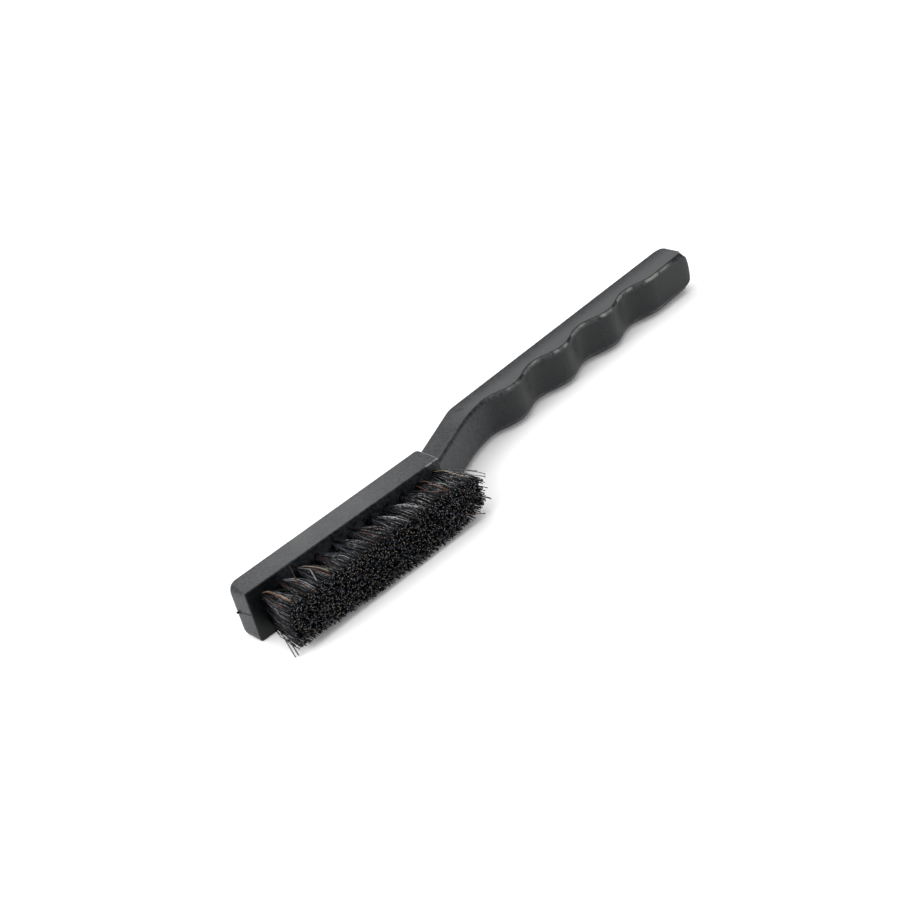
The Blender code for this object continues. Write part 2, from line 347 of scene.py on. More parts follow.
@dataclass(frozen=True)
class PaintedShade:
    """Painted shade: the handle's grip side and the front of the bristle face, which face away from
    the light, darkened to black.
    """

    grip_middle: Climb = (0.0054, 0.0046)
    grip_depth: Climb = (-0.0030, -0.0050)
    grip_from: Climb = (0.060, 0.072)
    grip_to: Climb = (0.1088, 0.1050)
    grip_shade: float = 0.8
    face_slope: float = 0.01751
    face_drop: float = 0.00463
    face_near: Climb = (0.00030, 0.00010)
    face_front: Climb = (-0.0220, -0.0310)
    face_shade: float = 0.9

    def grip(self, spot: Spot) -> Wire:
        """How much painted shade darkens the handle's grip side, and 0 off it."""
        grip = spot.off_middle.ramp(*self.grip_middle) * spot.height.ramp(*self.grip_depth)
        return grip * spot.x.ramp(*self.grip_from) * spot.along.ramp(*self.grip_to) * self.grip_shade

    def face(self, spot: Spot) -> Wire:
        """How much painted shade darkens the front of the bristle face under the tufts, and 0 off
        it.
        """
        off_face = abs(spot.y + spot.x * self.face_slope + self.face_drop)
        return off_face.ramp(*self.face_near) * spot.x.ramp(*self.face_front) * self.face_shade


@dataclass(frozen=True)
class MouldedPlastic:
    """Matt black moulded plastic: finely grained and a little cloudy, with a painted sheen, painted
    highlights and painted shade.
    """

    line: HandleLine = HandleLine()
    dark: Colour = (0.0005, 0.0010, 0.0015)
    light: Colour = (0.028, 0.031, 0.035)
    # Painted sheen: the lighter colour of the upper side faces of neck and handle, standing in for
    # the light they catch.
    side_sheen: Colour = (0.056, 0.058, 0.059)
    # Painted highlight on the head's edges by its step down to the neck.
    edge_highlight: Colour = (0.20, 0.20, 0.205)
    # Painted highlight along the handle's shoulder.
    shoulder_highlight: Colour = (0.165, 0.165, 0.155)
    roughness: float = 0.40
    gloss: float = 0.30
    grain: float = 0.00085
    grain_share: float = 0.7
    grain_roughness: float = 0.2
    grain_depth: float = 0.00006
    grain_strength: float = 0.6
    cloud: float = 0.0050
    cloud_detail: float = 4.0
    cloud_share: float = 0.3
    cloud_roughness: float = 0.3
    tone: Climb = (0.34, 0.66)
    side: Climb = (0.00655, 0.00668)
    side_from: Climb = (0.050, 0.066)
    # How the painted sheen fades out towards the handle's back, and how patchy it is.
    sheen_depth: Climb = (-0.0010, -0.0070)
    sheen_cloud: float = 0.6
    sheen_least: float = 0.6
    # How grainy the painted shoulder highlight is, and its least share.
    highlight_grain: float = 1.2
    highlight_least: float = 0.4
    shoulder: Band = ((0.0048, 0.0054), (0.00662, 0.00645))
    shoulder_from: Climb = (0.066, 0.074)
    shoulder_polish: float = 0.85

    def side_sheen_share(self, spot: Spot, cloud: Wire) -> Wire:
        """How much of the painted sheen shows on the upper side faces of neck and handle: a lighter
        colour that stands in for the light they catch.

        Args:
            spot: the shaded point.
            cloud: the plastic's cloudiness there.

        Returns:
            0 off the side faces, about 1 far from the handle's back.
        """
        on_side = spot.off_middle.ramp(*self.side) * spot.x.ramp(*self.side_from)
        patchy = cloud * self.sheen_cloud + self.sheen_least
        return spot.height.ramp(*self.sheen_depth) * on_side * patchy

    def make(self) -> bpy.types.Material:
        """Make the material.

        Returns:
            The finished material.
        """
        bench = Bench.material("moulded_black_plastic")
        spot = Spot.on(bench, self.line)
        fine = bench.mottle(spot.place, self.grain)
        cloud = bench.mottle(spot.place, self.cloud, self.cloud_detail)
        tone = (fine * self.grain_share + cloud * self.cloud_share).ramp(*self.tone)
        # Painted highlights on the handle's shoulder, broken up by the grain.
        highlights = ShoulderHighlights().share(spot) * (fine * self.highlight_grain + self.highlight_least)
        plastic = bench.blend(tone, self.dark, self.light)
        for share, colour in (
            # Painted shade on the handle's grip side and on the front of the bristle face.
            (PaintedShade().grip(spot), self.dark),
            (PaintedShade().face(spot), self.dark),
            # Painted sheen on the upper side faces of neck and handle.
            (self.side_sheen_share(spot, cloud), self.side_sheen),
            # Painted highlights on the handle's shoulder.
            (highlights, self.shoulder_highlight),
            # Painted highlight on the head's rear edges.
            (EdgeHighlights().share(spot), self.edge_highlight),
            (Nick().share(spot), self.dark),
        ):
            plastic = bench.blend(share, plastic, colour)
        uneven = (cloud - 0.5) * self.cloud_roughness + (fine - 0.5) * self.grain_roughness
        polished = spot.off_middle.within(self.shoulder) * spot.x.ramp(*self.shoulder_from)
        relief = fine * (1.0 - polished * self.shoulder_polish)
        bench.plug(bench.shader, {
            "Base Color": plastic,
            "Roughness": self.roughness + uneven,
            "Specular IOR Level": self.gloss,
            "Normal": bench.bump(relief, self.grain_depth, self.grain_strength),
        })
        return bench.owner


@dataclass(frozen=True)
class BristleHair:
    """Stiff bristle with a sheen, coloured strand by strand through a colour attribute."""

    attribute: str = "strand_colour"
    banding: float = 0.0009
    dark_bands: Colour = (0.55, 0.55, 0.55)
    colour_bands: Climb = (0.35, 0.65)
    roughness: float = 0.45
    roughness_bands: float = 0.25
    gloss: float = 0.08
    film_bands: Climb = (0.38, 0.60)
    film_roughness: float = 0.20
    film_index: float = 2.9

    def make(self) -> bpy.types.Material:
        """Make the material.

        Returns:
            The finished material.
        """
        bench = Bench.material("stiff_bristle")
        paint = {"attribute_name": self.attribute}
        colour = bench.add("ShaderNodeAttribute", paint, {}, "Color")
        sheen = bench.add("ShaderNodeAttribute", paint, {}, "Alpha")
        band = bench.mottle(bench.place(), self.banding)
        dim = bench.blend(1.0, colour, self.dark_bands, "MULTIPLY")
        bench.plug(bench.shader, {
            "Base Color": bench.blend(band.ramp(*self.colour_bands), dim, colour),
            "Roughness": self.roughness + (band - 0.5) * self.roughness_bands,
            "Specular IOR Level": self.gloss,
            "Coat Weight": sheen * band.ramp(*self.film_bands),
            "Coat Roughness": self.film_roughness,
            "Coat IOR": self.film_index,
        })
        return bench.owner


@dataclass(frozen=True)
class PaleFloor:
    """A plain pale table top with the faintest cloudiness."""

    shaded: Colour = (0.96, 0.96, 0.96)
    colour: Colour = (0.98, 0.98, 0.98)
    cloud: float = 0.08
    roughness: float = 0.6

    def make(self) -> bpy.types.Material:
        """Make the material.

        Returns:
            The finished material.
        """
        bench = Bench.material("pale_floor")
        cloud = bench.mottle(bench.place(), self.cloud)
        bench.plug(bench.shader, {
            "Base Color": bench.blend(cloud, self.shaded, self.colour),
            "Roughness": self.roughness,
        })
        return bench.owner


def deselect_all() -> None:
    """Leave nothing selected, so that the next operator acts on new geometry alone."""
    bpy.ops.object.select_all(action="DESELECT")


def take_active(name: str) -> bpy.types.Object:
    """Name the object that the last operator made, and put its place into its mesh.

    Args:
        name: the object's new name.

    Returns:
        The object.
    """
    piece = bpy.context.object
    piece.name = name
    piece.data.name = name
    bpy.ops.object.transform_apply(location=True, rotation=True, scale=True)
    return piece


def add_copy(source: bpy.types.Object, name: str) -> bpy.types.Object:
    """Copy an object and its mesh, and make the copy the selected and active object.

    Args:
        source: the object to copy.
        name: the copy's name.

    Returns:
        The copy.
    """
    deselect_all()
    piece = source.copy()
    piece.data = source.data.copy()
    piece.parent = None
    piece.name = name
    bpy.context.scene.collection.objects.link(piece)
    piece.select_set(True)
    bpy.context.view_layer.objects.active = piece
    return piece


def coat(piece: bpy.types.Object, material: bpy.types.Material) -> None:
    """Give a piece one material, in place of those that it has."""
    piece.data.materials.clear()
    piece.data.materials.append(material)


def read_points(mesh: bpy.types.Mesh) -> np.ndarray:
    """Read a mesh's points.

    Args:
        mesh: the mesh.

    Returns:
        A row of x, y and z for each point.
    """
    flat = np.empty(len(mesh.vertices) * 3)
    mesh.vertices.foreach_get("co", flat)
    return flat.reshape(-1, 3)


def write_points(mesh: bpy.types.Mesh, points: np.ndarray) -> None:
    """Move a mesh's points to new places, in their order."""
    mesh.vertices.foreach_set("co", points.reshape(-1))
    mesh.update()


@dataclass(frozen=True)
class EndPull:
    """How far the handle's end face lies back behind a flat one, on its grip half."""

    middle: float = 0.0003
    flank: float = 0.0009
    corner: float = 0.0004
    flank_off: float = 0.0050
    corner_width: float = 0.0017
    full_depth: float = 0.0080

    def amount(self, off_middle: np.ndarray, height: np.ndarray) -> np.ndarray:
        """The distance at each point of the end face.

        Args:
            off_middle: distances from the handle's middle plane.
            height: heights out of its back, negative inside.

        Returns:
            Distances back along the handle.
        """
        flank = np.clip(off_middle / self.flank_off, 0.0, 1.0) ** 2
        corner = np.clip((off_middle - self.flank_off) / self.corner_width, 0.0, 1.0)
        pull = self.middle + self.flank * flank - self.corner * corner
        return pull * np.clip(-height / self.full_depth, 0.0, 1.0)


@dataclass
class MouldedBody:
    """Head, neck and handle in one moulding: a smoothed copy of the CAD node, its end reshaped."""

    node: str = "moulded_body"
    name: str = "moulding"
    line: HandleLine = HandleLine()
    weld: float = 0.000002
    flat_angle: float = math.radians(0.1)
    sharp_angle: float = math.radians(50)
    levels: tuple[float, ...] = (0.0012, 0.0024, 0.0036, 0.0047)
    back_corner: tuple[float, float] = (0.0072, 0.0072)
    grip_corner: tuple[float, float] = (0.0018, 0.0018)
    side_corner: tuple[float, float] = (0.0030, 0.0030)
    crown: float = 0.0013
    parting_step: float = 0.0003
    soft_back: tuple[float, float] = (0.0066, 0.0038)
    soft_rim: tuple[float, float] = (0.0060, 0.0045)
    rim_tolerance: float = 0.001
    end_pull: EndPull = EndPull()

    @staticmethod
    def inset(to_end: np.ndarray, corner: tuple[float, float]) -> np.ndarray:
        """How far a rounded corner lies inside its side.

        Args:
            to_end: distances from the end.
            corner: the corner's length along the handle, and its depth.

        Returns:
            The inset at each distance.
        """
        length, depth = corner
        share = np.clip(1 - to_end / length, 0.0, 1.0)
        return depth * (1 - np.sqrt(1 - share * share))

    def soften_end(self, piece: bpy.types.Object) -> None:
        """Reshape the handle's end: fuller at its back, rounder and drawn back at its grip side.

        Args:
            piece: the moulding, its triangles already merged.
        """
        line = self.line
        points = read_points(piece.data)
        along, height = line.along_and_height(points[:, 0], points[:, 1])
        off_middle = np.abs(points[:, 2] - line.middle_z)
        to_end = np.clip(line.length - along, 0.0, None)
        near = to_end < self.back_corner[0]

        back = -self.inset(to_end, self.back_corner)
        rim = self.inset(to_end, self.grip_corner) - line.thickness
        new_back = -self.inset(to_end, self.soft_back)
        new_rim = self.inset(to_end, self.soft_rim) - line.thickness
        share = (height - back) / (rim - back)
        on_side = new_back + share * (new_rim - new_back) - height

        width = line.half_width - self.inset(to_end, self.side_corner)
        inward = width - self.parting_step - off_middle
        on_crown = (new_rim - rim) * np.clip(1 - inward / self.crown, 0.0, 1.0)
        shift = np.where(share < 1 + self.rim_tolerance, on_side, on_crown)
        lift = np.where(near, shift, 0.0)

        pull = self.end_pull.amount(off_middle, height)
        pull *= np.clip(1 - to_end / self.back_corner[0], 0.0, 1.0)
        points[:, 0] -= lift * math.sin(line.angle) + pull * math.cos(line.angle)
        points[:, 1] += lift * math.cos(line.angle) - pull * math.sin(line.angle)
        write_points(piece.data, points)

    def build(self) -> bpy.types.Object:
        """Copy the CAD node, merge its loose triangles and give it smooth normals.

        Returns:
            The moulding.
        """
        piece = add_copy(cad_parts[self.node], self.name)
        for key in list(piece.keys()):
            del piece[key]
        bpy.ops.object.mode_set(mode="EDIT")
        bpy.ops.mesh.select_all(action="SELECT")
        bpy.ops.mesh.customdata_custom_splitnormals_clear()
        bpy.ops.mesh.remove_doubles(threshold=self.weld)
        middle = self.line.middle_z
        above = [middle + off for off in self.levels]
        below = [middle - off for off in self.levels]
        for level in above + below:
            bpy.ops.mesh.select_all(action="SELECT")
            bpy.ops.mesh.bisect(plane_co=(0.0, 0.0, level), plane_no=UPWARD)
        bpy.ops.object.mode_set(mode="OBJECT")
        self.soften_end(piece)
        bpy.ops.object.mode_set(mode="EDIT")
        bpy.ops.mesh.select_all(action="SELECT")
        bpy.ops.mesh.dissolve_limited(angle_limit=self.flat_angle)
        bpy.ops.object.mode_set(mode="OBJECT")
        bpy.ops.object.shade_smooth_by_angle(angle=self.sharp_angle)
        lean = piece.modifiers.new("even_faces", "WEIGHTED_NORMAL")
        lean.keep_sharp = True
        bpy.ops.object.modifier_apply(modifier=lean.name)
        return piece

    def dress(self, piece: bpy.types.Object) -> None:
        """Give the moulding its plastic and tie it to the CAD body.

        Args:
            piece: the moulding.
        """
        coat(piece, MouldedPlastic().make())
        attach(piece, BODY)
        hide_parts(self.node)


class Tint(Enum):
    """Colours of bristle in the tufts."""

    BLACK = (0.0024, 0.0030, 0.0046)
    SLATE = (0.056, 0.063, 0.076)
    RUSSET = (0.030, 0.018, 0.016)
    COPPER = (0.170, 0.083, 0.054)
    STRAW = (0.340, 0.270, 0.190)
    SILVER = (0.300, 0.300, 0.315)


# How many of a tuft's bristles have each colour, as shares of 1.
TINT_SHARES: dict[Tint, float] = {
    Tint.BLACK: 0.65,
    Tint.SLATE: 0.25,
    Tint.RUSSET: 0.06,
    Tint.COPPER: 0.012,
    Tint.STRAW: 0.008,
    Tint.SILVER: 0.020,
}


@dataclass
class Strand:
    """One bristle, modelled upright and one unit long, from which all the others are copied."""

    sides: int = 4
    rings: int = 8
    root_radius: float = 0.000105
    tip_radius: float = 0.000170
    # Painted shade: how dark a bristle is at its root, and how much darker towards its tip.
    root_shade: float = 0.36
    tip_shade: float = 0.25
    tip_from: float = 0.75
    tip_length: float = 0.2
    # The cut ends: many painted paler, partly their own paler colour and partly a painted highlight
    # of light caught on them, some of these warmer.
    cut_own: float = 0.6
    cut_dull: float = 0.004
    cut_pale: tuple[float, float] = (0.06, 0.26)
    pale_share: float = 0.47
    warm_share: float = 0.30
    cut_tint: Colour = (0.90, 1.0, 1.15)
    warm_tint: Colour = (1.30, 1.05, 0.75)

    def model(self) -> bpy.types.Object:
        """Model the bristle by extruding a small disc ring by ring.

        Returns:
            The bristle, with its rings at heights of 0 to 1.
        """
        deselect_all()
        bpy.ops.mesh.primitive_circle_add(vertices=self.sides, radius=self.root_radius,
                                          fill_type="NGON")
        bpy.ops.object.mode_set(mode="EDIT")
        bpy.ops.mesh.select_all(action="SELECT")
        steps = self.rings - 1
        growth = (self.tip_radius / self.root_radius) ** (1 / steps)
        for _ in range(steps):
            upward = {"value": (0.0, 0.0, 1 / steps)}
            bpy.ops.mesh.extrude_region_move(TRANSFORM_OT_translate=upward)
            bpy.ops.transform.resize(value=(growth, growth, 1.0))
        bpy.ops.mesh.select_all(action="SELECT")
        bpy.ops.mesh.normals_make_consistent(inside=False)
        bpy.ops.object.mode_set(mode="OBJECT")
        bpy.ops.object.shade_smooth()
        return take_active("bristle_model")

    def repeat(self, model: bpy.types.Object, name: str, count: int) -> bpy.types.Object:
        """Copy the bristle many times into one mesh.

        Args:
            model: the modelled bristle.
            name: name of the new piece.
            count: how many bristles it holds.

        Returns:
            The new piece, its copies all in one place.
        """
        piece = add_copy(model, name)
        piece.data.name = name
        array = piece.modifiers.new("repeat", "ARRAY")
        array.count = count
        array.use_relative_offset = False
        bpy.ops.object.modifier_apply(modifier=array.name)
        return piece

    def lay(self, piece: bpy.types.Object, lines: np.ndarray) -> None:
        """Lay a piece's bristles along their middle lines.

        Args:
            piece: the piece with its copies all in one place.
            lines: points by bristle and ring.
        """
        count, rings, _ = lines.shape
        local = read_points(piece.data).reshape(count, -1, 3)
        ring = np.rint(local[..., 2] * (rings - 1)).astype(int)
        ahead = np.gradient(lines, axis=1)
        ahead /= np.linalg.norm(ahead, axis=2, keepdims=True)
        side = np.cross(ahead, np.array(UPWARD))
        side /= np.linalg.norm(side, axis=2, keepdims=True)
        up = np.cross(side, ahead)
        index = np.arange(count)[:, None]
        aside = side[index, ring] * local[..., :1]
        above = up[index, ring] * local[..., 1:2]
        write_points(piece.data, lines[index, ring] + aside + above)

    def paint(self, piece: bpy.types.Object, tints: np.ndarray, gleams: np.ndarray,
              chance: np.random.Generator) -> None:
        """Write each bristle's colour and sheen, with painted shade darker at its root and tip, and
        its cut end paler, partly a painted highlight.

        Args:
            piece: the piece with its bristles in place.
            tints: linear colours by bristle.
            gleams: from 0 for a dull bristle to 1 for a sleek one.
            chance: the source of the scatter.
        """
        mesh = piece.data
        count = len(tints)
        vertex = np.empty(len(mesh.loops), int)
        mesh.loops.foreach_get("vertex_index", vertex)
        height = read_points(mesh)[:, 1][vertex].reshape(count, -1)
        root, tip = height.max(), height.min()
        share = (root - height) / (root - tip)
        # Painted shade, darker towards the root inside the tuft and towards the tip.
        near_tip = np.clip((share - self.tip_from) / self.tip_length, 0.0, 1.0)
        fall = 1 - (1 - self.tip_shade) * near_tip
        shade = (self.root_shade + (1 - self.root_shade) * share) * fall
        colours = np.ones((count, len(mesh.loops) // count, 4))
        colours[..., :3] = tints[:, None, :] * shade[..., None]
        colours[..., 3] = gleams[:, None] * fall

        faces = len(mesh.polygons) // count
        cut = min(range(faces), key=lambda face: mesh.polygons[face].center.y)
        start = mesh.polygons[cut].loop_start
        corners = slice(start, start + mesh.polygons[cut].loop_total)
        # Paler cut ends, partly their own colour and partly a painted highlight, some of them
        # warmer.
        is_pale = chance.random((count, 1)) < self.pale_share
        pale = np.where(is_pale, chance.uniform(*self.cut_pale, (count, 1)), self.cut_dull)
        is_warm = chance.random((count, 1)) < self.warm_share
        ends = pale * np.where(is_warm, np.array(self.warm_tint), np.array(self.cut_tint))
        colours[:, corners, :3] = tints[:, None, :] * self.cut_own + ends[:, None, :]
        colours[:, corners, 3] = 0.0
        attribute = mesh.color_attributes.new(BristleHair().attribute, "FLOAT_COLOR", "CORNER")
        attribute.data.foreach_set("color", colours.reshape(-1))


@dataclass
class HoleGrid:
    """Where the tuft holes lie in the head's bristle face."""

    head_length: float = 0.07425
    head_width: float = 0.0168
    front_thickness: float = 0.0086
    rear_thickness: float = 0.0099
    columns: int = 11
    rows: int = 3
    column_pitch: float = 0.00656
    row_pitch: float = 0.00425
    front_margin: float = 0.00585
    hole_radius: float = 0.0014
    hole_depth: float = 0.0058
    free_length: float = 0.0166

    @property
    def back(self) -> float:
        """Height of the head's back: half its mean thickness."""
        return (self.front_thickness + self.rear_thickness) / 4

    @property
    def tips(self) -> float:
        """Height at which the bristles are trimmed."""
        return self.back - self.front_thickness - self.free_length

    def mouth(self, column: int, row: int) -> Vector:
        """Middle of a hole's mouth.

        Args:
            column: column counted from the head's front end.
            row: row counted from the side that the brush lies on.

        Returns:
            The point, in metres.
        """
        along = self.front_margin + column * self.column_pitch
        growth = self.rear_thickness - self.front_thickness
        thickness = self.front_thickness + growth * (along / self.head_length)
        across = self.head_width / 2 + (row - (self.rows - 1) / 2) * self.row_pitch
        return Vector((along - self.head_length / 2, self.back - thickness, across))


@dataclass
class Tufts:
    """All the tufts: packed in their holes, fanned out of them, and trimmed level at the tips."""

    grid: HoleGrid
    strand: Strand
    count_along: int = 12
    count_across: int = 11
    jitter: float = 0.45
    mixing: float = 0.45
    pack: float = 0.86
    root_share: float = 0.6
    column_fan: float = 0.00013
    border_places: tuple[float, ...] = (-0.0350, -0.0195, -0.0005, 0.0155, 0.0245, 0.0340, 0.0385)
    lower_border: tuple[float, ...] = (0.0026, 0.0022, 0.0010, 0.0008, 0.0011, 0.0027, 0.0045)
    upper_border: tuple[float, ...] = (0.0163, 0.0165, 0.0166, 0.0166, 0.0165, 0.0148, 0.0128)
    lock_size: int = 3
    lock_pull: float = 0.22
    lock_stray: float = 0.00013
    scatter: float = 0.00020
    scatter_across: float = 0.7
    loose_share: float = 0.14
    loose_factor: float = 3.4
    fray: float = 0.0013
    fray_offset: float = 0.5
    front_fray: float = -0.4
    rear_fray: float = 1.0
    trim: float = 0.00030
    tip_slope: float = 0.005
    flare: float = 1.9
    wave: float = 0.00034
    wave_turns: tuple[float, float] = (0.4, 1.3)
    hook: float = 0.00016
    floor_gap: float = 0.00015
    tint_range: tuple[float, float] = (0.5, 1.5)
    sleek_share: float = 0.42
    sleek_gleam: tuple[float, float] = (0.4, 1.0)
    dull_gleam: float = 0.04
    seed: int = 11

    def numbers(self) -> tuple[np.ndarray, np.ndarray]:
        """Column and line of each of a tuft's bristles in the tuft's own grid."""
        along, across = np.meshgrid(np.arange(self.count_along), np.arange(self.count_across))
        return along.ravel(), across.ravel()

    def spread(self, chance: np.random.Generator) -> tuple[np.ndarray, np.ndarray]:
        """Places of a tuft's bristles in a square from -1 to 1, near a grid but not on it.

        Args:
            chance: the source of the scatter.

        Returns:
            The places along and across the head.
        """
        along, across = self.numbers()
        shift = chance.uniform(-self.jitter, self.jitter, (2, along.size))
        u = (along + 0.5 + shift[0]) / self.count_along * 2 - 1
        v = (across + 0.5 + shift[1]) / self.count_across * 2 - 1
        return u, v

    def locks(self) -> np.ndarray:
        """Number of the lock that each bristle of a tuft clings to."""
        along, across = self.numbers()
        return along // self.lock_size + across // self.lock_size * self.count_along

    def roots(self, u: np.ndarray, v: np.ndarray,
              chance: np.random.Generator) -> tuple[np.ndarray, np.ndarray]:
        """Where the bristles stand in their round hole, partly mixed up.

        Args:
            u: their places along the head, from -1 to 1.
            v: their places across it, from -1 to 1.
            chance: the source of the scatter.

        Returns:
            Distances from the hole's axis, along and across the head.
        """
        u, v = (kept * (1 - self.mixing) + chance.permutation(kept) * self.mixing
                for kept in (u, v))
        disc_u = u * np.sqrt(1 - v * v / 2) * self.grid.hole_radius * self.pack
        disc_v = v * np.sqrt(1 - u * u / 2) * self.grid.hole_radius * self.pack
        return disc_u, disc_v

    def tips(self, column: int, row: int, u: np.ndarray, v: np.ndarray,
             chance: np.random.Generator) -> tuple[np.ndarray, np.ndarray]:
        """Where the bristles' tips lie: spread over the brush, in locks, some loose or frayed.

        Args:
            column: column counted from the head's front end.
            row: row counted from the side that the brush lies on.
            u: their places along the head, from -1 to 1.
            v: their places across it, from -1 to 1.
            chance: the source of the scatter.

        Returns:
            Distances from the hole's mouth, along and across the head.
        """
        grid = self.grid
        mouth = grid.mouth(column, row)
        columns_off = column - (grid.columns - 1) / 2
        tip_u = columns_off * self.column_fan + u * (grid.column_pitch + self.column_fan) / 2
        lower = np.interp(mouth.x + tip_u, self.border_places, self.lower_border)
        upper = np.interp(mouth.x + tip_u, self.border_places, self.upper_border)
        tip_v = lower + (upper - lower) * (row + (v + 1) / 2) / grid.rows - mouth.z
        lock = self.locks()
        for tip in (tip_u, tip_v):
            middles = np.bincount(lock, tip) / np.maximum(np.bincount(lock), 1)
            tip += (middles[lock] - tip) * self.lock_pull
            tip += chance.normal(0.0, self.lock_stray, len(middles))[lock]
        is_loose = chance.random(u.size) < self.loose_share
        loose = np.where(is_loose, self.loose_factor, 1.0) * self.scatter
        side = {0: self.front_fray, grid.columns - 1: self.rear_fray}.get(column, 0.0)
        outward = side * np.clip(u * np.sign(side), 0.0, 1.0) ** 2
        outward *= self.fray * (chance.exponential(1.0, u.size) - self.fray_offset)
        tip_u = tip_u + chance.normal(0.0, 1.0, u.size) * loose + outward
        tip_v = tip_v + chance.normal(0.0, 1.0, u.size) * loose * self.scatter_across
        return tip_u, tip_v

    def lines(self, column: int, row: int, chance: np.random.Generator) -> np.ndarray:
        """Middle lines of a tuft's bristles.

        Args:
            column: column counted from the head's front end.
            row: row counted from the side that the brush lies on.
            chance: the source of the scatter.

        Returns:
            Points by bristle and ring, in metres.
        """
        grid = self.grid
        mouth = grid.mouth(column, row)
        u, v = self.spread(chance)
        count = u.size
        disc_u, disc_v = self.roots(u, v, chance)
        tip_u, tip_v = self.tips(column, row, u, v, chance)
        trimmed = grid.tips + (mouth.x + tip_u) * self.tip_slope
        tip_y = trimmed + np.abs(chance.normal(0.0, 1.0, count)) * self.trim

        share = np.sin(np.linspace(0.0, math.pi / 2, self.strand.rings))
        bottom = mouth.y + grid.hole_depth * self.root_share
        heights = bottom + (tip_y[:, None] - bottom) * share[None, :]
        free = np.clip((mouth.y - heights) / (mouth.y - tip_y[:, None]), 0.0, 1.0)
        opened = 1 - (1 - free) ** self.flare
        phase = chance.uniform(0, 2 * math.pi, (2, count, 1))
        turns = chance.uniform(*self.wave_turns, (2, count, 1))
        sway = np.sin(phase + turns * 2 * math.pi * free) * np.sin(math.pi * free) * self.wave
        x = mouth.x + disc_u[:, None] * (1 - opened) + tip_u[:, None] * opened + sway[0]
        z = mouth.z + disc_v[:, None] * (1 - opened) + tip_v[:, None] * opened + sway[1]
        x[:, -1] += chance.normal(0.0, self.hook, count)
        z[:, -1] += chance.normal(0.0, self.hook, count)
        z = np.clip(z, self.floor_gap + self.strand.tip_radius, None)
        return np.stack([x, heights, z], axis=2)

    def tints(self, count: int, chance: np.random.Generator) -> np.ndarray:
        """A colour for each bristle.

        Args:
            count: how many bristles there are.
            chance: the source of the choice.

        Returns:
            Linear colours by bristle.
        """
        chosen = chance.choice(len(TINT_SHARES), count, p=list(TINT_SHARES.values()))
        colours = np.array([tint.value for tint in TINT_SHARES])[chosen]
        return colours * chance.uniform(*self.tint_range, (count, 1))

    def build(self, hair: bpy.types.Material) -> None:
        """Build every tuft in place of its CAD solid.

        Args:
            hair: the bristles' material.
        """
        model = self.strand.model()
        for column in range(self.grid.columns):
            for row in range(self.grid.rows):
                chance = np.random.default_rng([self.seed, column, row])
                label = f"r{row + 1}_c{column + 1:02d}"
                lines = self.lines(column, row, chance)
                count = len(lines)
                piece = self.strand.repeat(model, "bristles_" + label, count)
                self.strand.lay(piece, lines)
                sleek = chance.random(count) < self.sleek_share
                gleams = np.where(sleek, chance.uniform(*self.sleek_gleam, count), self.dull_gleam)
                self.strand.paint(piece, self.tints(count, chance), gleams, chance)
                coat(piece, hair)
                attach(piece, BODY)
                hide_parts("tuft_" + label)
        bpy.data.objects.remove(model)


@dataclass(frozen=True)
class Hair:
    """A single bristle or fibre with a path of its own, its points in millimetres."""

    tint: Tint
    path: tuple[Point, ...]
    samples_per_ring: int = 8
    smoothings_per_ring: int = 3

    def line(self, rings: int) -> np.ndarray:
        """The path, drawn through its points without their kinks.

        Args:
            rings: how many points to give.

        Returns:
            Points in metres.
        """
        points = np.array(self.path) / MM_IN_A_METRE
        steps = np.linalg.norm(np.diff(points, axis=0), axis=1)
        reach = np.concatenate([[0.0], np.cumsum(steps)]) / steps.sum()
        share = np.linspace(0.0, 1.0, self.samples_per_ring * rings)
        fine = np.stack([np.interp(share, reach, points[:, axis]) for axis in range(3)], axis=1)
        for _ in range(self.smoothings_per_ring * rings):
            fine[1:-1] = (fine[:-2] + fine[1:-1] * 2 + fine[2:]) / 4
        return fine[np.linspace(0, len(fine) - 1, rings).astype(int)]


@dataclass
class Strays:
    """Single hairs, threads or a burr, each along a path of its own, built as one piece."""

    name: str
    strand: Strand
    hairs: tuple[Hair, ...]
    slot: str
    gleam: float = 0.15
    seed: int = 5

    def build(self, material: bpy.types.Material) -> None:
        """Build the hairs as one piece.

        Args:
            material: the bristles' material, which takes each hair's colour.
        """
        chance = np.random.default_rng(self.seed)
        model = self.strand.model()
        piece = self.strand.repeat(model, self.name, len(self.hairs))
        self.strand.lay(piece, np.stack([hair.line(self.strand.rings) for hair in self.hairs]))
        gleams = np.full(len(self.hairs), self.gleam)
        self.strand.paint(piece, np.array([hair.tint.value for hair in self.hairs]), gleams, chance)
        coat(piece, material)
        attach(piece, BODY)
        bpy.data.objects.remove(model)


